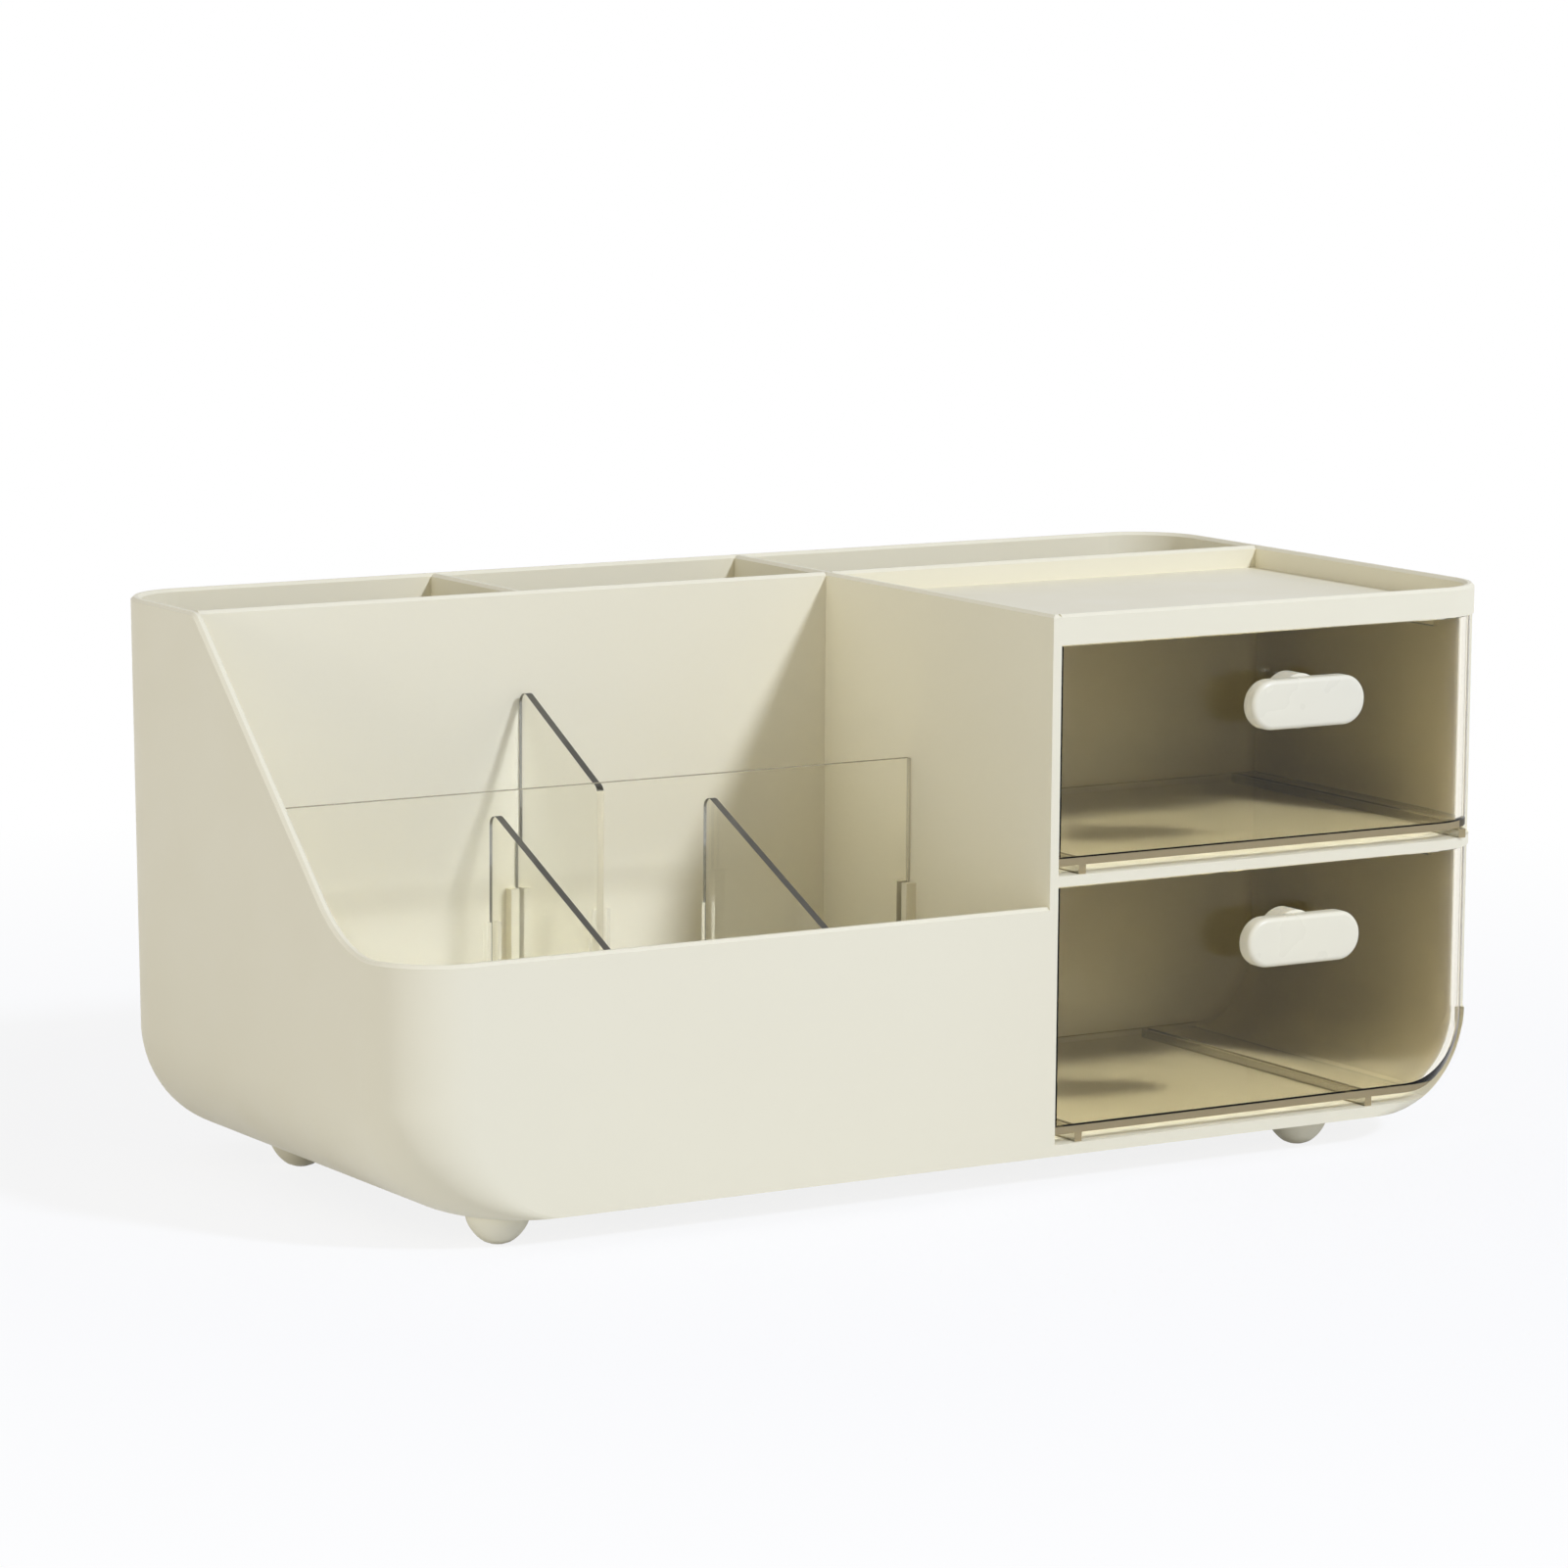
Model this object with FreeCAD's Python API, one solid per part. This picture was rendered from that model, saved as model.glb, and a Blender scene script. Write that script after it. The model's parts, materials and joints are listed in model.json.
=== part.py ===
import FreeCAD
import Part
import math
import os

V = FreeCAD.Vector

# Makeup organizer, millimetres. Modelled with x from the left face, y from the front face to the back
# and z from the underside of the tub, then moved so that the origin is under the middle of its box.

# Tub
width = 334.0
depth = 158.0
height = 140.0
wall = 2.6
floor = 3.0
corner = 20.0
base_round_left = 30.0
base_round_right = 25.0
base_break = math.radians(12)
left_lean = 2.0
low_front = 65.0
slope_foot = 30.0
slope_back = 51.5
slope_foot_round = 38.0
slope_top_round = 5.0
rim_bevel = 0.8

# Inner walls of the tub
tower_width = 144.8
rear_row = 49.7
inner_wall = 2.6

# Drawer tower
rim_depth = 7.9
tray_floor = 1.9
lower_share = 0.519
shelf = 2.75
opening_lip = 1.0
foot_lip = 0.3
side_wall_start = 11.0

# Drawers
front_setback = 1.0
front_thick = 2.4
drawer_wall = 2.0
drawer_floor = 2.0
drawer_gap = 0.4
drawer_back_gap = 3.8
side_drop = 5.0
drawer_round = 23.2
skid_high = 2.4
skid_wide = 2.2
skid_inset = 8.0
lower_skid_inset = 16.0

# Handles and their screws
handle_drop = 18.0
pill_long = 36.0
pill_high = 13.0
pill_thick = 4.6
pill_edge = 1.0
handle_reach = 10.0
stem_radius = 7.2
screw_radius = 1.3
screw_hole_gap = 0.4
screw_head_radius = 3.2
screw_head_high = 2.0
screw_bite = 6.5

# Clear dividers and the ribs that hold them
plate = 2.0
plate_gap = 0.4
plate_round = 2.5
cross_y = 66.15
cross_top = 95.3
rear_plate_low = 93.7
rear_plate_high = 115.3
front_plate_low = 62.0
front_plate_high = 91.0
front_plates = 3
rib = 2.4
rib_out = 3.0
rib_top = 62.3
slot_play = 0.3
channel_rib = 1.5
channel_out = 2.0

# Feet
foot_high = 8.0
foot_radius = 8.0
foot_rim = 2.5
foot_pad = 3.6
foot_left_inset = 36.8
foot_right_inset = 54.0
foot_front_inset = 15.0
foot_back_inset = 38.0

# Levels and places that follow
rim_z = height - rim_depth
shelf_z = floor + lower_share * (rim_z - floor)
shelf_top = shelf_z + shelf
partition_x = width - tower_width
partition_right = partition_x + inner_wall
opening_right = width - wall - opening_lip
rear_wall_y = depth - rear_row
slope_top = depth - slope_back
upper_handle_z = rim_z - handle_drop
lower_handle_z = shelf_z - handle_drop
handle_x = (partition_right + width) / 2
rear_wall_back = rear_wall_y + inner_wall
back_inner = depth - wall
bin_left = wall
bin_middle = (bin_left + partition_x) / 2
front_plate_xs = [partition_x * k / front_plates for k in range(1, front_plates)]
front_inner = front_setback + front_thick
reach = 2 * width
origin = V(-width / 2, -(depth - handle_reach) / 2, foot_high)


def box(x0, x1, y0, y1, z0, z1):
    return Part.makeBox(x1 - x0, y1 - y0, z1 - z0, V(x0, y0, z0))


def arc(start, middle, end):
    return Part.Arc(start, middle, end).toShape()


def rounded_outline(points, radii):
    """Closed outline through points, each corner rounded by its radius."""
    starts, middles, ends = [], [], []
    count = len(points)
    for i, (point, radius) in enumerate(zip(points, radii)):
        back = (points[i - 1] - point).normalize()
        ahead = (points[(i + 1) % count] - point).normalize()
        half = back.getAngle(ahead) / 2
        run = radius / math.tan(half)
        towards = (back + ahead).normalize()
        starts.append(point + back * run)
        ends.append(point + ahead * run)
        middles.append(point + towards * (radius / math.sin(half) - radius))
    edges = []
    for i in range(count):
        if radii[i]:
            edges.append(arc(starts[i], middles[i], ends[i]))
        if ends[i].distanceToPoint(starts[(i + 1) % count]) > 1e-6:
            edges.append(Part.makeLine(ends[i], starts[(i + 1) % count]))
    return Part.Wire(edges)


def slab(points, radii, along):
    return Part.Face(rounded_outline(points, radii)).extrude(along)


def base_arc(base_round, lean, inset):
    """Middle of the round along the foot of a side wall, and its radius at this inset."""
    return lean + base_round, base_round * math.cos(base_break), base_round - inset


def half_tub(base_round, lean, inset, bottom, top):
    """Left half of the tub's form: the plan outline carried up the round foot and the side wall."""
    mid_x, mid_z, radius = base_arc(base_round, lean, inset)
    bottom = max(bottom, mid_z - radius * math.cos(base_break))
    first = math.acos((mid_z - bottom) / radius)

    def on_arc(angle):
        return V(mid_x - radius * math.sin(angle), 0, mid_z - radius * math.cos(angle))

    side = on_arc(math.pi / 2)
    top_x = side.x - lean * (top - mid_z) / (height - mid_z)
    foot_arc = arc(on_arc(first), on_arc((first + math.pi / 2) / 2), side)
    path = Part.Wire([foot_arc, Part.makeLine(side, V(top_x, 0, top))])
    left = on_arc(first).x
    right = left + 0.6 * width
    plan = rounded_outline(
        [V(left, inset, bottom), V(left, depth - inset, bottom), V(right, depth - inset, bottom),
         V(right, inset, bottom)],
        [corner - inset, corner - inset, 0, 0])
    sweep = Part.BRepOffsetAPI.MakePipeShell(path)
    sweep.setTrihedronMode(V(0, 0, 0), V(0, 0, 1))
    sweep.add(plan, False, False)
    sweep.build()
    sweep.makeSolid()
    return sweep.shape().common(box(-reach, width / 2, -reach, reach, -reach, reach))


def tub(inset, bottom=0.0, top=height):
    """The tub's whole form, with its sides moved in by inset."""
    left = half_tub(base_round_left, left_lean, inset, bottom, top)
    right = half_tub(base_round_right, 0.0, inset, bottom, top).mirror(V(width / 2, 0, 0), V(1, 0, 0))
    return left.fuse(right).removeSplitter()


def right_profile(left, right, bottom, top, inset, y0, y1):
    """Prism from front to back whose lower right corner follows the round foot of the tub."""
    mid_x, mid_z, radius = base_arc(base_round_right, 0.0, inset)
    mid_x = width - mid_x
    first = math.acos((mid_z - bottom) / radius)
    last = math.asin((right - mid_x) / radius)

    def on_arc(angle):
        return V(mid_x + radius * math.sin(angle), y0, mid_z - radius * math.cos(angle))

    corners = [on_arc(last), V(right, y0, top), V(left, y0, top), V(left, y0, bottom), on_arc(first)]
    edges = [Part.makeLine(a, b) for a, b in zip(corners, corners[1:])]
    edges.append(arc(on_arc(first), on_arc((first + last) / 2), on_arc(last)))
    return Part.Face(Part.Wire(edges)).extrude(V(0, y1 - y0, 0))


def looks_up(face):
    at = face.Surface.parameter(face.CenterOfMass)
    return face.normalAt(*at).z > 0.3


def soften_rim(shape, tops, ends=()):
    """Bevel the edges of the upward faces that pass tops, except where a face that passes ends meets them."""
    rims = [face for face in shape.Faces if looks_up(face) and tops(face.CenterOfMass)]
    edges = []
    for edge in shape.Edges:
        faces = shape.ancestorsOfType(edge, Part.Face)
        rim = [face for face in faces if any(face.isSame(other) for other in rims)]
        side = [face for face in faces if not any(face.isSame(other) for other in rims)]
        if len(rim) == 1 and len(side) == 1 and not any(test(side[0].CenterOfMass) for test in ends):
            edges.append(edge)
    return shape.makeChamfer(rim_bevel, edges)


def near(a, b):
    return abs(a - b) < 0.01


def slope_cutter():
    """What is cut away above the low front and the sloping left wall."""
    over = height + 20
    points = [V(-10, -10, low_front), V(-10, slope_foot, low_front), V(-10, slope_top, height),
              V(-10, slope_top + 20, height), V(-10, slope_top + 20, over), V(-10, -10, over)]
    return slab(points, [0, slope_foot_round, slope_top_round, 0, 0, 0], V(partition_x + 10, 0, 0))


def slot_ribs(middle, start, end, across, high, thick=rib):
    """Two upright ribs either side of a plate: across is 'x' when the plate's faces look along x."""
    ribs = []
    for side in (-1, 1):
        inner = middle + side * (plate / 2 + slot_play)
        low, top = sorted((inner, inner + side * thick))
        if across == "x":
            ribs.append(box(low, top, start, end, floor, high))
        else:
            ribs.append(box(start, end, low, top, floor, high))
    return ribs


def outer_shell():
    shell = tub(0.0).cut(tub(wall, floor, height + 1))
    shell = shell.cut(slope_cutter())
    opening = right_profile(partition_x, opening_right, floor, height + 1, wall + foot_lip, -1, corner)
    notch = box(partition_x, reach, -1, rear_wall_y, rim_z, height + 1)
    corner_cut = box(opening_right - wall, reach, -1, side_wall_start, base_round_right, height)
    shell = shell.cut(opening.multiFuse([notch, corner_cut]))
    above_round = box(0, width, 0, depth, base_round_left, height)
    side_ribs = slot_ribs(cross_y, 0, left_lean + wall + rib_out, "y", rib_top)
    ribs = [part.common(tub(wall, floor)).common(above_round) for part in side_ribs]
    for x in front_plate_xs:
        ribs += slot_ribs(x, wall, wall + rib_out, "x", rib_top)
    shell = shell.removeSplitter()
    shell = soften_rim(shell, lambda at: at.z > low_front - 0.1 and not near(at.z, rim_z),
                       [lambda at: near(at.x, partition_x), lambda at: near(at.y, rear_wall_y)])
    return shell.multiFuse(ribs).removeSplitter()


def drawer_partition():
    panel = box(partition_x, partition_right, 0, back_inner, floor, height)
    panel = soften_rim(panel, lambda at: near(at.z, height), [lambda at: near(at.y, back_inner)])
    ribs = slot_ribs(cross_y, partition_x - rib_out, partition_x, "y", rib_top)
    return panel.multiFuse(ribs).removeSplitter()


def rear_panel(left, right):
    panel = box(left, right, rear_wall_y, rear_wall_back, floor, height).common(tub(wall, floor))
    return soften_rim(panel, lambda at: near(at.z, height),
                      [lambda at: not near(at.y, rear_wall_y) and not near(at.y, rear_wall_back)])


def bin_rear_wall():
    panel = rear_panel(0, partition_x)
    ribs = slot_ribs(bin_middle, rear_wall_y - rib_out, rear_wall_y, "x", rib_top)
    return panel.multiFuse(ribs).removeSplitter()


def tower_back_wall():
    return rear_panel(partition_right, width)


def rear_divider():
    middle = bin_middle
    panel = box(middle - inner_wall / 2, middle + inner_wall / 2, rear_wall_back, back_inner, floor, height)
    return soften_rim(panel, lambda at: near(at.z, height),
                      [lambda at: near(at.y, rear_wall_back), lambda at: near(at.y, back_inner)])


def drawer_shelf():
    form = tub(0.0)
    board = form.common(box(partition_right, opening_right, 0, rear_wall_y, shelf_z, shelf_top))
    nose = form.common(box(opening_right - 1, width, 0, side_wall_start, shelf_z, shelf_top))
    side = box(opening_right - 1, width - wall, corner + plate_gap, rear_wall_y, shelf_z, shelf_top)
    return board.multiFuse([nose, side]).removeSplitter()


def top_tray():
    form = tub(0.0).common(box(partition_right, width, 0, rear_wall_y, rim_z, height))
    recess = tub(wall, floor, height + 1)
    recess = recess.common(box(0, width, 0, depth, rim_z + tray_floor, height + 1))
    tray = form.cut(recess)
    return soften_rim(tray, lambda at: near(at.z, height),
                      [lambda at: near(at.x, partition_right), lambda at: near(at.y, rear_wall_y)])


def foot_places():
    xs = (foot_left_inset, width - foot_right_inset)
    ys = (foot_front_inset, depth - foot_back_inset)
    return [(x, y) for y in ys for x in xs]


def foot(x, y):
    """Round button that tapers from an upright rim to a small pad."""
    profile = Part.makePolygon([V(x, y, 0), V(x + foot_radius, y, 0), V(x + foot_radius, y, -foot_rim),
                                V(x + foot_pad, y, -foot_high), V(x, y, -foot_high), V(x, y, 0)])
    return Part.Face(profile).revolve(V(x, y, 0), V(0, 0, 1), 360)


def drawer(bottom, top, handle_z, skid_xs, foot_round=0.0):
    """Clear box on two skids, its front wrapped round the corner of the tower and its foot rounded."""
    left = partition_right + drawer_gap
    right = opening_right - drawer_gap
    back = rear_wall_y - drawer_back_gap
    base = bottom + skid_high
    front_top = top - drawer_gap

    def block(inset, y0, y1, z0, z1):
        x0, x1 = left + inset, right - inset
        points = [V(x0, y0, z0), V(x1, y0, z0), V(x1, y0, z1), V(x0, y0, z1)]
        return slab(points, [0, max(0, foot_round - inset), 0, 0], V(0, y1 - y0, 0))

    form = block(0.0, -1, back, base, front_top).common(tub(front_setback, floor))
    inner = block(drawer_wall, -1, back - drawer_wall, base + drawer_floor, height + 1)
    inner = inner.common(tub(front_inner, floor, height + 1))
    above = box(-reach, reach, front_inner + corner, reach, front_top - side_drop, height)
    shape = form.cut(inner).cut(above)
    skids = [box(x - skid_wide / 2, x + skid_wide / 2, front_setback, back, bottom, base) for x in skid_xs]
    shape = shape.multiFuse(skids).removeSplitter()
    hole = Part.makeCylinder(screw_radius + screw_hole_gap, 2 * corner, V(handle_x, -1, handle_z), V(0, 1, 0))
    return shape.cut(hole)


def handle(z):
    half = pill_high / 2
    x0, x1 = handle_x - pill_long / 2, handle_x + pill_long / 2
    outline = [V(x0, -handle_reach, z - half), V(x1, -handle_reach, z - half),
               V(x1, -handle_reach, z + half), V(x0, -handle_reach, z + half)]
    pill = slab(outline, [half] * 4, V(0, pill_thick, 0))
    stem = Part.makeCylinder(stem_radius, handle_reach + front_setback - pill_thick,
                             V(handle_x, pill_thick - handle_reach, z), V(0, 1, 0))
    bore = Part.makeCylinder(screw_radius + screw_hole_gap, screw_bite + 1,
                             V(handle_x, front_setback - screw_bite - 1, z), V(0, 1, 0))
    front = [edge for edge in pill.Edges if near(edge.BoundBox.YMax, -handle_reach)]
    return pill.makeChamfer(pill_edge, front).fuse(stem).removeSplitter().cut(bore)


def handle_screw(z):
    shank = Part.makeCylinder(screw_radius, front_thick + screw_bite,
                              V(handle_x, front_setback - screw_bite, z), V(0, 1, 0))
    head = Part.makeCylinder(screw_head_radius, screw_head_high, V(handle_x, front_inner, z), V(0, 1, 0))
    return head.fuse(shank)


def cross_divider():
    """Long plate across the bin, with channels for the ends of the other plates."""
    front, back = cross_y - plate / 2, cross_y + plate / 2
    shape = box(0, partition_x - plate_gap, front, back, floor, cross_top)
    shape = shape.common(tub(wall + plate_gap, floor))
    for x in front_plate_xs:
        shape = shape.multiFuse(slot_ribs(x, front - channel_out, front, "x", rib_top, channel_rib))
    shape = shape.multiFuse(slot_ribs(bin_middle, back, back + channel_out, "x", rib_top, channel_rib))
    return shape.removeSplitter()


def bin_plate(x, front, back, front_top, back_top):
    """Plate from front to back of the bin, its upper edge sloping down to the front."""
    left = x - plate / 2
    points = [V(left, front, floor), V(left, front, front_top), V(left, back, back_top), V(left, back, floor)]
    return slab(points, [0, plate_round, plate_round, 0], V(plate, 0, 0))


def bin_rear_divider():
    return bin_plate(bin_middle, cross_y + plate / 2 + plate_gap, rear_wall_y - plate_gap,
                     rear_plate_low, rear_plate_high)


def bin_front_divider(x):
    return bin_plate(x, wall + plate_gap, cross_y - plate / 2 - plate_gap, front_plate_low, front_plate_high)


def build():
    parts = {
        "outer_shell": outer_shell(),
        "drawer_partition": drawer_partition(),
        "bin_rear_wall": bin_rear_wall(),
        "tower_back_wall": tower_back_wall(),
        "rear_divider": rear_divider(),
        "drawer_shelf": drawer_shelf(),
        "top_tray": top_tray(),
    }
    names = ["foot_front_left", "foot_front_right", "foot_back_left", "foot_back_right"]
    for name, (x, y) in zip(names, foot_places()):
        parts[name] = foot(x, y)
    parts["cross_divider"] = cross_divider()
    parts["bin_rear_divider"] = bin_rear_divider()
    for name, x in zip(("left", "right"), front_plate_xs):
        parts["bin_front_" + name + "_divider"] = bin_front_divider(x)
    left_skid = partition_right + skid_inset
    lower_skid = width - base_round_right - lower_skid_inset
    parts["upper_drawer"] = drawer(shelf_top, rim_z, upper_handle_z, [left_skid, opening_right - skid_inset])
    parts["lower_drawer"] = drawer(floor, shelf_z, lower_handle_z, [left_skid, lower_skid], drawer_round)
    for level, z in (("upper", upper_handle_z), ("lower", lower_handle_z)):
        parts[level + "_handle"] = handle(z)
        parts[level + "_handle_screw"] = handle_screw(z)
    return parts


os.makedirs("parts", exist_ok=True)
for name, shape in build().items():
    solid = shape.Solids[0]
    solid.translate(origin)
    solid.exportStep("parts/" + name + ".step")
    print(name, len(shape.Solids), solid.isValid(), round(solid.Volume))
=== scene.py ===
import json
import math

import bmesh
import bpy
from mathutils import Matrix, Vector


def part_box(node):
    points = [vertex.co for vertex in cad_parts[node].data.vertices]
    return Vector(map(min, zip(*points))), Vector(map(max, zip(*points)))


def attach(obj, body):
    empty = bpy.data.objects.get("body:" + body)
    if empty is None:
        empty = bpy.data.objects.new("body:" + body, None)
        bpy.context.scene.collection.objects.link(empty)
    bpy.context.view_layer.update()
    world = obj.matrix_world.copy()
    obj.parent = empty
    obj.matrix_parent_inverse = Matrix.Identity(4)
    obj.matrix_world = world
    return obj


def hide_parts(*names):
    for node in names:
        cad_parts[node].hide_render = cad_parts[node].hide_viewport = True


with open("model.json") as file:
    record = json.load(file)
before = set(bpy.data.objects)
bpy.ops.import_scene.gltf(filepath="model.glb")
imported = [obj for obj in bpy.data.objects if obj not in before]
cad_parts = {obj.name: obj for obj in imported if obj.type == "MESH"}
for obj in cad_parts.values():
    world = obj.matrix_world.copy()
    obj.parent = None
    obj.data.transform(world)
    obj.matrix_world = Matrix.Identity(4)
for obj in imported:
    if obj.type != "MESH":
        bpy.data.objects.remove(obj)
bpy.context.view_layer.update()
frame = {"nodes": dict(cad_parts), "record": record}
nodes = frame["nodes"]
scene = bpy.context.scene

MM = 0.001
ALONG_X, ALONG_Y, ALONG_Z = Vector((1, 0, 0)), Vector((0, 1, 0)), Vector((0, 0, 1))

# Moulded plastics: linear colours, roughness, strength of the grain and its depth in millimetres,
# and the scales of the noises
CREAM = (0.87, 0.81, 0.59)
CREAM_SHADE = (0.855, 0.79, 0.57)
CREAM_ROUGH = (0.40, 0.52)
CREAM_GRAIN = 0.06
# The feet are the same cream plastic, painted paler as painted light to lift the shade they stand
# in under the tub
FOOT_PAINTED_LIGHT = (0.92, 0.87, 0.66)
FOOT_ROUGH = (0.45, 0.6)
FOOT_GRAIN = 0.08
HANDLE = (0.80, 0.76, 0.59)
HANDLE_ROUGH = (0.25, 0.35)
HANDLE_GRAIN = 0.02
MOULDED_IOR = 1.49
MOULDED_SPECULAR = 0.35
DRIFT_SCALE = 9.0
GLOSS_SCALE = 60.0
GRAIN_SCALE = 1600.0
GRAIN_DEEP = 0.2

# Zinc of the screws: linear colours, roughness, scales of its noises
ZINC = (0.62, 0.62, 0.6)
ZINC_WORN = (0.5, 0.5, 0.5)
ZINC_ROUGH = (0.25, 0.4)
ZINC_SCALE = 500.0
ZINC_GLOSS_SCALE = 900.0

# Clear plastics: what a face lets through, IOR, roughness, and ripples with their depth in
# millimetres. The cross plate and the drawers have a low IOR, so that channels and reflections
# stay as faint as in the photo.
CLEAR = (0.965, 0.955, 0.90)
CLEAR_IOR = 1.49
CROSS = (0.99, 0.985, 0.965)
CROSS_IOR = 1.1
SMOKE = (0.972, 0.936, 0.832)
SMOKE_IOR = 1.25
PLATE_ROUGH = (0.0, 0.03)
PLATE_RIPPLE = 0.02
DRAWER_ROUGH = (0.01, 0.04)
DRAWER_RIPPLE = 0.03
RUB_SCALE = 45.0
RIPPLE_SCALE = 22.0
RIPPLE_DEEP = 1.0

# Edges of the clear plastics: painted linear colours, how matt they are, widths in millimetres
# The palest colour is painted light and the darker ones are painted shade, for the lines seen at
# cut edges
CLEAR_EDGE_PAINTED_LIGHT = (0.80, 0.72, 0.47)
CLEAR_EDGE_PAINTED_SHADE = (0.13, 0.12, 0.09)
CROSS_EDGE_PAINTED_SHADE = (0.40, 0.35, 0.23)
SMOKE_FOOT_PAINTED_SHADE = (0.46, 0.37, 0.20)
SMOKE_SIDE_PAINTED_SHADE = (0.12, 0.10, 0.06)
PLATE_EDGE_MATT = 0.8
CROSS_END_MATT = 0.45
SMOKE_EDGE_MATT = 0.75
SMOKE_SIDE_MATT = 0.25
CROSS_EDGE_WIDE = 0.5
DRAWER_FOOT = 4.3

# Least part of a unit normal along an axis for a face to look along it, either way or one way
LOOKS_ALONG = 0.5
LOOKS_TO = 0.3

# Feet, in millimetres, and the powers that shape their dome
FOOT_RIM = 1.2
FOOT_PAD = 2.0
FOOT_STEPS = 12
DOME_DROP = 1.5
DOME_ROUND = 0.65

# Handles, in millimetres; the flat face of the pill is set in by PILL_FACE times its round
PILL_LONG = 36.0
PILL_HIGH = 13.0
PILL_THICK = 4.6
PILL_ROUND = 1.3
PILL_FACE = 2.6
PILL_BACK_ROUND = 0.5
PILL_STEPS = 20
PILL_EDGE_STEPS = 6
STEM_START_INSET = 0.6

# Screws, in millimetres; the shares are of the radius of the head
SCREW_HEAD_HIGH = 2.0
SCREW_SHANK = 1.3
SCREW_CROWN = 0.45
SCREW_SHARES = (1.0, 0.9, 0.8, 0.71, 0.69, 0.55, 0.4, 0.25, 0.1)
SCREW_STEPS = 64
RECESS_REACH = 0.7
RECESS_HALF = 0.16
RECESS_DEEP = 0.9

# Points of a plain ring, and the angle from which an edge is shaded sharp
RING_STEPS = 48
SHARP_FROM = math.radians(38)

# Lamps: direction and distance from the point they light, power, colour and size
LIT_POINT = Vector((0.0, 0.0, 0.07))
KEY_TO = Vector((0.45, -1.0, 0.81))
KEY_AWAY = 4.0
KEY_POWER = 117.0
KEY_COLOUR = (0.727, 0.793, 1.0)
KEY_SIZE = 0.45
FILL_TO = Vector((-1.0, -0.15, 0.08))
FILL_AWAY = 2.0
FILL_POWER = 11.6
FILL_COLOUR = (1.0, 0.99, 0.985)
FILL_SIZE = 1.0

# World: light from the horizon and the zenith, and the heights between which it changes
HORIZON = (0.41, 0.41, 0.42)
ZENITH = (0.38, 0.385, 0.44)
SKY_LOW = 0.15
SKY_HIGH = 0.55

# Floor: half its width, its grey to the eye and to other rays, and its share of plain white
# near the object and far from it
FLOOR_HALF = 6.0
FLOOR_SEEN = 0.92
FLOOR_LIT = 0.70
WHITE_NEAR = 0.85
WHITE_FAR = 1.0
NEAR = 0.25
FAR = 0.6

# Camera, fitted to the photo
CAMERA_AT = (-0.8431, -1.3386, 0.3320)
CAMERA_TURN = math.radians(-31.84)
CAMERA_RISE = math.radians(8.46)
CAMERA_ROLL = math.radians(0.46)
CAMERA_LENS = 139.88
CAMERA_SENSOR = 36.0


class Nodes:
    """A node tree, with short ways to add and join nodes."""

    # Where noise mostly lies, and the colour sockets of the Mix node
    NOISE_LOW, NOISE_HIGH = 0.3, 0.7
    MIX_A, MIX_B, MIX_RESULT = 6, 7, 2

    def __init__(self, tree):
        self.tree = tree
        self.tree.nodes.clear()
        self.place = self.add("ShaderNodeTexCoord")

    def add(self, kind, **values):
        """A new node; a value goes to the input of its name, or else to a setting."""
        node = self.tree.nodes.new(kind)
        for key, value in values.items():
            socket = node.inputs.get(key.replace("_", " "))
            if socket is None:
                setattr(node, key, value)
            else:
                socket.default_value = value
        return node

    def join(self, source, target):
        self.tree.links.new(source, target)

    def parts(self, vector):
        """X, Y and Z of a vector."""
        split = self.add("ShaderNodeSeparateXYZ")
        self.join(vector, split.inputs[0])
        return split.outputs

    def noise(self, scale, detail=3.0):
        noise = self.add("ShaderNodeTexNoise", Scale=scale, Detail=detail)
        self.join(self.place.outputs["Object"], noise.inputs["Vector"])
        return noise.outputs["Fac"]

    def maths(self, operation, first, second=0.0):
        node = self.add("ShaderNodeMath", operation=operation)
        for socket, value in zip(node.inputs, (first, second)):
            if isinstance(value, float):
                socket.default_value = value
            else:
                self.join(value, socket)
        return node.outputs[0]

    def spread(self, source, low, high, start=NOISE_LOW, end=NOISE_HIGH, kind="LINEAR"):
        """From low to high as the source goes from start to end."""
        spread = self.add("ShaderNodeMapRange", interpolation_type=kind)
        for index, value in enumerate((start, end, low, high)):
            spread.inputs[index + 1].default_value = value
        self.join(source, spread.inputs[0])
        return spread.outputs[0]

    def between(self, source, first, second):
        """From the first colour to the second as the source goes from 0 to 1."""
        mix = self.add("ShaderNodeMix", data_type="RGBA")
        self.join(source, mix.inputs[0])
        mix.inputs[self.MIX_A].default_value = (*first, 1)
        mix.inputs[self.MIX_B].default_value = (*second, 1)
        return mix.outputs[self.MIX_RESULT]

    def bump(self, source, strength, distance):
        bump = self.add("ShaderNodeBump", Strength=strength, Distance=distance)
        self.join(source, bump.inputs["Height"])
        return bump.outputs["Normal"]

    def mixed(self, share, first, second):
        """From the first shader to the second as the share goes from 0 to 1."""
        mix = self.add("ShaderNodeMixShader")
        self.join(share, mix.inputs[0])
        self.join(first.outputs[0], mix.inputs[1])
        self.join(second.outputs[0], mix.inputs[2])
        return mix

    def seen(self):
        """1 for rays from the eye, also by a reflection or through clear plastic, else 0."""
        path = self.add("ShaderNodeLightPath").outputs
        by_mirror = self.maths("MAXIMUM", path["Is Glossy Ray"], path["Is Transmission Ray"])
        from_eye = self.maths("LESS_THAN", path["Diffuse Depth"], 0.5)
        led_on = self.maths("MULTIPLY", by_mirror, from_eye)
        return self.maths("MAXIMUM", path["Is Camera Ray"], led_on)


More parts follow.
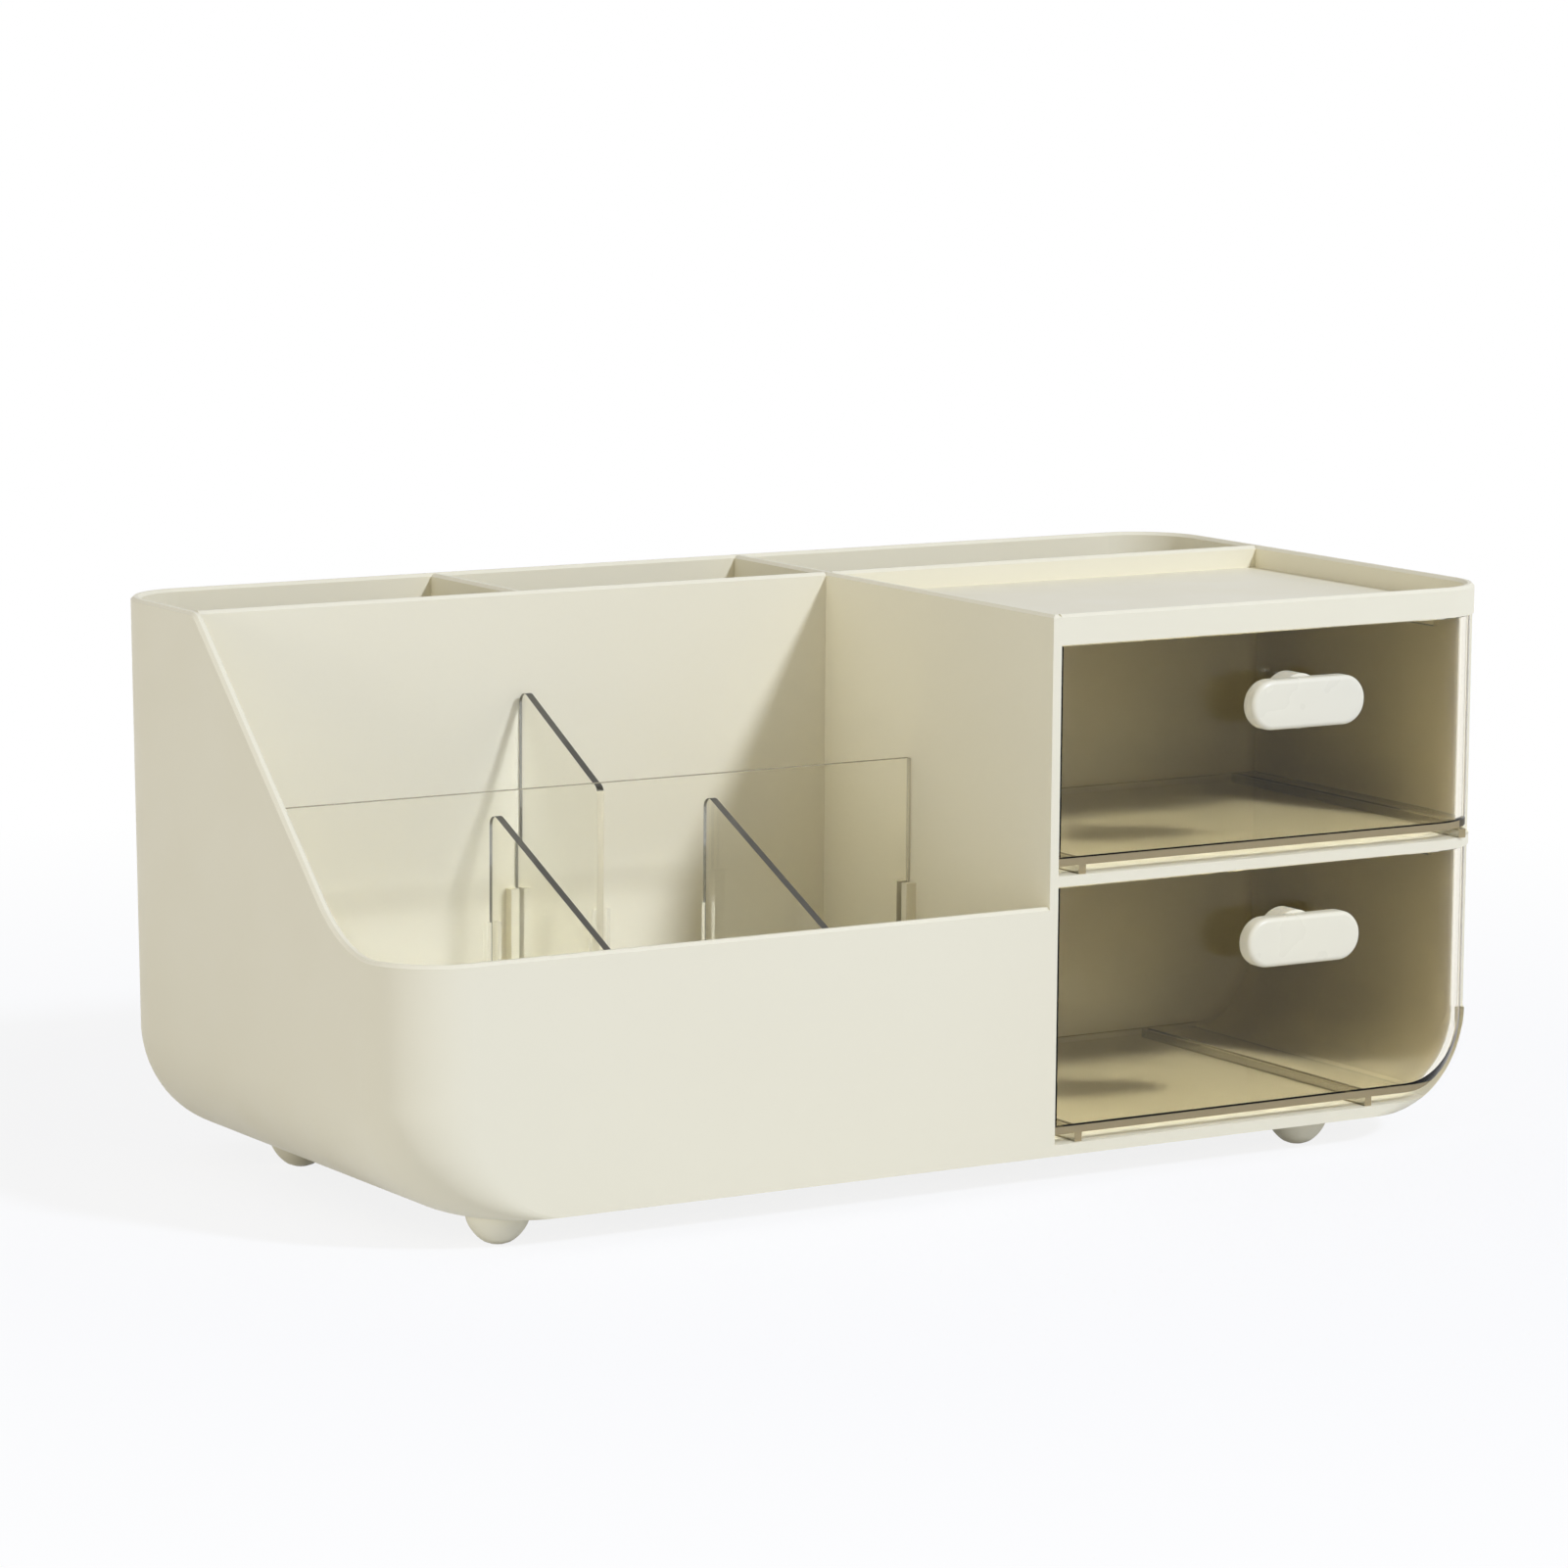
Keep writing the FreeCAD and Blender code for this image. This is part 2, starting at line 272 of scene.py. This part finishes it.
class Shader(Nodes):
    """The node tree of a new material."""

    def __init__(self, name):
        self.material = bpy.data.materials.new(name)
        self.material.use_nodes = True
        super().__init__(self.material.node_tree)
        self.output = self.add("ShaderNodeOutputMaterial")

    def surface(self, shader):
        self.join(shader.outputs[0], self.output.inputs["Surface"])
        return self.material


def moulded_plastic(name, colour, drift_to, rough, grain):
    """Satin moulded plastic: fine grain, slow colour drift and uneven gloss."""
    s = Shader(name)
    body = s.add("ShaderNodeBsdfPrincipled", IOR=MOULDED_IOR, Specular_IOR_Level=MOULDED_SPECULAR)
    drift = s.spread(s.noise(DRIFT_SCALE, 2.0), 0.0, 1.0)
    s.join(s.between(drift, colour, drift_to), body.inputs["Base Color"])
    s.join(s.spread(s.noise(GLOSS_SCALE), *rough), body.inputs["Roughness"])
    s.join(s.bump(s.noise(GRAIN_SCALE, 2.0), grain, GRAIN_DEEP * MM), body.inputs["Normal"])
    return s.surface(body)


class ClearPlastic(Shader):
    """See-through plastic that lets the lamps through, with faint ripples and rub marks."""

    def __init__(self, name, tint, ior, rough, ripple):
        super().__init__(name)
        glass = self.add("ShaderNodeBsdfPrincipled", Base_Color=(*tint, 1), IOR=ior,
                         Transmission_Weight=1.0)
        self.join(self.spread(self.noise(RUB_SCALE), *rough), glass.inputs["Roughness"])
        ripples = self.bump(self.noise(RIPPLE_SCALE, 1.0), ripple, RIPPLE_DEEP * MM)
        self.join(ripples, glass.inputs["Normal"])
        lamp_tint = [math.sqrt(c) for c in tint]
        lit_through = self.add("ShaderNodeBsdfTransparent", Color=(*lamp_tint, 1))
        path = self.add("ShaderNodeLightPath")
        self.clear = self.mixed(path.outputs["Is Shadow Ray"], glass, lit_through)
        # Seen from within, a face's normal points inwards: it is turned to point outwards again
        outward = self.add("ShaderNodeVectorMath", operation="SCALE")
        self.join(self.place.outputs["Normal"], outward.inputs[0])
        within = self.add("ShaderNodeNewGeometry").outputs["Backfacing"]
        self.join(self.spread(within, 1.0, -1.0, 0.0, 1.0), outward.inputs["Scale"])
        self.normal = self.parts(outward.outputs[0])

    def looks_along(self, axis):
        """1 where the surface faces along the axis, either way."""
        return self.maths("GREATER_THAN", self.maths("ABSOLUTE", self.normal[axis]), LOOKS_ALONG)

    def looks_to(self, axis):
        """1 where the surface faces the far end of the axis."""
        return self.maths("GREATER_THAN", self.normal[axis], LOOKS_TO)

    def edged(self, share, colour):
        """The clear plastic with a partly matt edge painted as light or shade, in one colour or in
        a colour from a node.
        """
        matt = self.add("ShaderNodeBsdfDiffuse")
        if isinstance(colour, tuple):
            matt.inputs["Color"].default_value = (*colour, 1)
        else:
            self.join(colour, matt.inputs["Color"])
        return self.surface(self.mixed(share, self.clear, matt))


def bin_plate():
    """Cut plate along the bin; painted shade darkens its upper and rear edges, painted light makes
    the others pale.
    """
    s = ClearPlastic("clear_plate", CLEAR, CLEAR_IOR, PLATE_ROUGH, PLATE_RIPPLE)
    edge = s.maths("SUBTRACT", 1.0, s.looks_along("X"))
    dark = s.maths("MAXIMUM", s.looks_to("Z"), s.looks_to("Y"))
    colour = s.between(dark, CLEAR_EDGE_PAINTED_LIGHT, CLEAR_EDGE_PAINTED_SHADE)
    return s.edged(s.maths("MULTIPLY", edge, PLATE_EDGE_MATT), colour)


def cross_plate(node):
    """Cut plate across the bin; its upper edge and right end are matt with a painted shade, its
    channels clear.
    """
    s = ClearPlastic("clear_cross_plate", CROSS, CROSS_IOR, PLATE_ROUGH, PLATE_RIPPLE)
    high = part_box(node)[1]
    at = s.parts(s.place.outputs["Object"])
    top = s.maths("GREATER_THAN", at["Z"], high.z - CROSS_EDGE_WIDE * MM)
    top_edge = s.maths("MULTIPLY", top, s.looks_to("Z"))
    end = s.maths("GREATER_THAN", at["X"], high.x - CROSS_EDGE_WIDE * MM)
    end_edge = s.maths("MULTIPLY", end, s.looks_along("X"))
    edge = s.maths("MAXIMUM", top_edge, s.maths("MULTIPLY", end_edge, CROSS_END_MATT))
    return s.edged(s.maths("MULTIPLY", edge, PLATE_EDGE_MATT), CROSS_EDGE_PAINTED_SHADE)


def smoked_drawer(name, node):
    """Moulded drawer, partly matt on the front of its floor and skids, less so on their sides, with
    painted shade there: brown on the front, dark on the sides.
    """
    s = ClearPlastic(name, SMOKE, SMOKE_IOR, DRAWER_ROUGH, DRAWER_RIPPLE)
    height = s.parts(s.place.outputs["Object"])["Z"]
    foot = s.maths("LESS_THAN", height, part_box(node)[0].z + DRAWER_FOOT * MM)
    sideways = s.looks_along("X")
    front = s.maths("MULTIPLY", s.looks_along("Y"), SMOKE_EDGE_MATT)
    side = s.maths("MULTIPLY", sideways, SMOKE_SIDE_MATT)
    matt = s.maths("MULTIPLY", foot, s.maths("MAXIMUM", front, side))
    return s.edged(matt, s.between(sideways, SMOKE_FOOT_PAINTED_SHADE, SMOKE_SIDE_PAINTED_SHADE))


def steel():
    """Zinc-plated steel with a mottled colour and gloss."""
    s = Shader("zinc_steel")
    body = s.add("ShaderNodeBsdfPrincipled", Metallic=1.0)
    s.join(s.between(s.noise(ZINC_SCALE), ZINC, ZINC_WORN), body.inputs["Base Color"])
    s.join(s.spread(s.noise(ZINC_GLOSS_SCALE), *ZINC_ROUGH), body.inputs["Roughness"])
    return s.surface(body)


materials = {
    "cream": moulded_plastic("cream_plastic", CREAM, CREAM_SHADE, CREAM_ROUGH, CREAM_GRAIN),
    "cream_feet": moulded_plastic("foot_plastic", FOOT_PAINTED_LIGHT, CREAM_SHADE, FOOT_ROUGH, FOOT_GRAIN),
    "cream_handles": moulded_plastic("handle_plastic", HANDLE, CREAM, HANDLE_ROUGH, HANDLE_GRAIN),
    "smoked_clear": smoked_drawer("smoked_upper_drawer", "upper_drawer"),
    "clear": bin_plate(),
    "steel": steel(),
}
for row in frame["record"]["subparts"]:
    node = nodes[row["node"]]
    node.data.materials.clear()
    node.data.materials.append(materials[row["material_slot"]])
nodes["cross_divider"].data.materials[0] = cross_plate("cross_divider")
nodes["lower_drawer"].data.materials[0] = smoked_drawer("smoked_lower_drawer", "lower_drawer")


def skin(rings):
    """Points and faces of a closed skin over rings with the same number of points."""
    count = len(rings[0])
    faces = [tuple(range(count)), tuple(range((len(rings) - 1) * count, len(rings) * count))]
    for i in range(len(rings) - 1):
        here, there = i * count, (i + 1) * count
        for j in range(count):
            k = (j + 1) % count
            faces.append((here + j, here + k, there + k, there + j))
    return [point for ring in rings for point in ring], faces


def piece(name, skins, node, body, slot):
    """One object from several skins that stands in for a CAD node and moves with its body."""
    mesh = bpy.data.meshes.new(name)
    points, faces = [], []
    for more_points, more_faces in skins:
        faces += [tuple(len(points) + i for i in face) for face in more_faces]
        points += more_points
    mesh.from_pydata(points, [], faces)
    form = bmesh.new()
    form.from_mesh(mesh)
    bmesh.ops.recalc_face_normals(form, faces=form.faces)
    form.to_mesh(mesh)
    form.free()
    mesh.shade_smooth()
    mesh.set_sharp_from_angle(angle=SHARP_FROM)
    mesh.materials.append(materials[slot])
    made = bpy.data.objects.new(name, mesh)
    scene.collection.objects.link(made)
    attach(made, body)
    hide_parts(node)


def ring(centre, radius, first, second, count=RING_STEPS):
    """Circle in the plane of two directions."""
    turns = [2 * math.pi * i / count for i in range(count)]
    return [centre + radius * (math.cos(a) * first + math.sin(a) * second) for a in turns]


def foot(node):
    """Domed button: an upright rim that rounds in to a small pad."""
    low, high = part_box(node)
    middle = (low + high) / 2
    radius, rim, pad = (high.x - low.x) / 2, FOOT_RIM * MM, FOOT_PAD * MM
    drop = high.z - low.z - rim
    rings = [ring(Vector((middle.x, middle.y, high.z)), radius, ALONG_X, ALONG_Y)]
    for step in range(FOOT_STEPS + 1):
        t = step / FOOT_STEPS
        at = Vector((middle.x, middle.y, high.z - rim - drop * t))
        reach = pad + (radius - pad) * (1 - t ** DOME_DROP) ** DOME_ROUND
        rings.append(ring(at, reach, ALONG_X, ALONG_Y))
    piece(node + "_dome", [skin(rings)], node, "cabinet", "cream_feet")


def stadium(middle, inset, y):
    """Pill outline at depth y, drawn in by inset."""
    half = PILL_HIGH / 2 * MM
    ahead = PILL_LONG / 2 * MM - half
    points = []
    for side, start in ((1, -math.pi / 2), (-1, math.pi / 2)):
        for i in range(PILL_STEPS + 1):
            turn = start + math.pi * i / PILL_STEPS
            x = middle.x + side * ahead + (half - inset) * math.cos(turn)
            points.append(Vector((x, y, middle.z + (half - inset) * math.sin(turn))))
    return points


def handle(node, body):
    """Round-edged pill on a round stem."""
    low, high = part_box(node)
    middle = (low + high) / 2
    turns = [math.pi / 2 * i / PILL_EDGE_STEPS for i in range(PILL_EDGE_STEPS + 1)]
    edge, small = PILL_ROUND * MM, PILL_BACK_ROUND * MM
    back = low.y + PILL_THICK * MM
    pill = [stadium(middle, PILL_FACE * edge, low.y)]
    for a in turns:
        pill.append(stadium(middle, edge * (1 - math.sin(a)), low.y + edge * (1 - math.cos(a))))
    for a in turns:
        pill.append(stadium(middle, small * (1 - math.cos(a)), back - small * (1 - math.sin(a))))
    reach = (high.z - low.z) / 2
    start = (back - small, reach - STEM_START_INSET * MM)
    stem = [ring(Vector((middle.x, y, middle.z)), radius, ALONG_X, ALONG_Z)
            for y, radius in (start, (back, reach), (high.y, reach))]
    piece(node + "_pill", [skin(pill), skin(stem)], node, body, "cream_handles")


def screw(node, body):
    """Pan-headed screw with a cross recess."""
    low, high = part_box(node)
    middle = (low + high) / 2
    radius, base = (high.x - low.x) / 2, high.y - SCREW_HEAD_HIGH * MM

    def on_head(share, turn):
        """Point of the head at a share of its radius, sunk where the recess is."""
        x, z = radius * share * math.cos(turn), radius * share * math.sin(turn)
        rise = SCREW_HEAD_HIGH * MM * (1 - SCREW_CROWN * share * share)
        if share < RECESS_REACH and min(abs(x), abs(z)) < RECESS_HALF * radius:
            rise -= RECESS_DEEP * MM
        return Vector((middle.x + x, base + rise, middle.z + z))

    turns = [2 * math.pi * i / SCREW_STEPS for i in range(SCREW_STEPS)]
    head = [ring(Vector((middle.x, base, middle.z)), radius, ALONG_X, ALONG_Z, SCREW_STEPS)]
    head += [[on_head(share, turn) for turn in turns] for share in SCREW_SHARES]
    shank = [ring(Vector((middle.x, y, middle.z)), SCREW_SHANK * MM, ALONG_X, ALONG_Z, SCREW_STEPS)
             for y in (low.y, base)]
    piece(node + "_head", [skin(head), skin(shank)], node, body, "steel")


for corner in ("front_left", "front_right", "back_left", "back_right"):
    foot("foot_" + corner)
for level in ("upper", "lower"):
    handle(level + "_handle", "drawer_" + level)
    screw(level + "_handle_screw", "drawer_" + level)


def lamp(name, to, away, power, colour, size):
    """Round area lamp that looks at the lit point."""
    data = bpy.data.lights.new(name, "AREA")
    data.energy = power
    data.color = colour
    data.shape = "DISK"
    data.size = size
    holder = bpy.data.objects.new(name, data)
    scene.collection.objects.link(holder)
    holder.location = LIT_POINT + to.normalized() * away
    holder.rotation_euler = to.to_track_quat("Z", "Y").to_euler()


def studio():
    """World that lights from the horizon to the zenith and shows plain white."""
    world = bpy.data.worlds.new("studio")
    scene.world = world
    world.use_nodes = True
    s = Nodes(world.node_tree)
    height = s.parts(s.place.outputs["Generated"])["Z"]
    rise = s.spread(height, 0.0, 1.0, SKY_LOW, SKY_HIGH, "SMOOTHSTEP")
    light = s.add("ShaderNodeBackground")
    s.join(s.between(rise, HORIZON, ZENITH), light.inputs["Color"])
    white = s.add("ShaderNodeBackground", Color=(1, 1, 1, 1))
    output = s.add("ShaderNodeOutputWorld")
    s.join(s.mixed(s.seen(), light, white).outputs[0], output.inputs["Surface"])


def floor():
    """White floor with a faint shadow near the object, plain white further out."""
    mesh = bpy.data.meshes.new("floor")
    corners = [(x * FLOOR_HALF, y * FLOOR_HALF, 0) for x, y in ((-1, -1), (1, -1), (1, 1), (-1, 1))]
    mesh.from_pydata(corners, [], [(0, 1, 2, 3)])
    plane = bpy.data.objects.new("floor", mesh)
    scene.collection.objects.link(plane)
    s = Shader("floor_white")
    matt = s.add("ShaderNodeBsdfDiffuse")
    by_eye = s.seen()
    s.join(s.between(by_eye, (FLOOR_LIT,) * 3, (FLOOR_SEEN,) * 3), matt.inputs["Color"])
    away = s.add("ShaderNodeVectorMath", operation="LENGTH")
    s.join(s.place.outputs["Object"], away.inputs[0])
    white = s.spread(away.outputs["Value"], WHITE_NEAR, WHITE_FAR, NEAR, FAR)
    glow = s.add("ShaderNodeEmission")
    mesh.materials.append(s.surface(s.mixed(s.maths("MULTIPLY", by_eye, white), matt, glow)))


def camera():
    """Camera at the photo's place, turned about the upright, raised, and rolled."""
    level = math.cos(CAMERA_RISE)
    back = Vector((math.sin(CAMERA_TURN) * level, -math.cos(CAMERA_TURN) * level,
                   math.sin(CAMERA_RISE)))
    right = Vector((math.cos(CAMERA_TURN), math.sin(CAMERA_TURN), 0))
    up = back.cross(right)
    cos_roll, sin_roll = math.cos(CAMERA_ROLL), math.sin(CAMERA_ROLL)
    right, up = cos_roll * right + sin_roll * up, cos_roll * up - sin_roll * right
    data = bpy.data.cameras.new("camera")
    data.lens = CAMERA_LENS
    data.sensor_width = CAMERA_SENSOR
    holder = bpy.data.objects.new("camera", data)
    scene.collection.objects.link(holder)
    turned = Matrix((right, up, back)).transposed().to_4x4()
    holder.matrix_world = Matrix.Translation(CAMERA_AT) @ turned
    scene.camera = holder


lamp("key", KEY_TO, KEY_AWAY, KEY_POWER, KEY_COLOUR, KEY_SIZE)
lamp("fill", FILL_TO, FILL_AWAY, FILL_POWER, FILL_COLOUR, FILL_SIZE)
studio()
floor()
camera()
scene.view_settings.view_transform = "Standard"
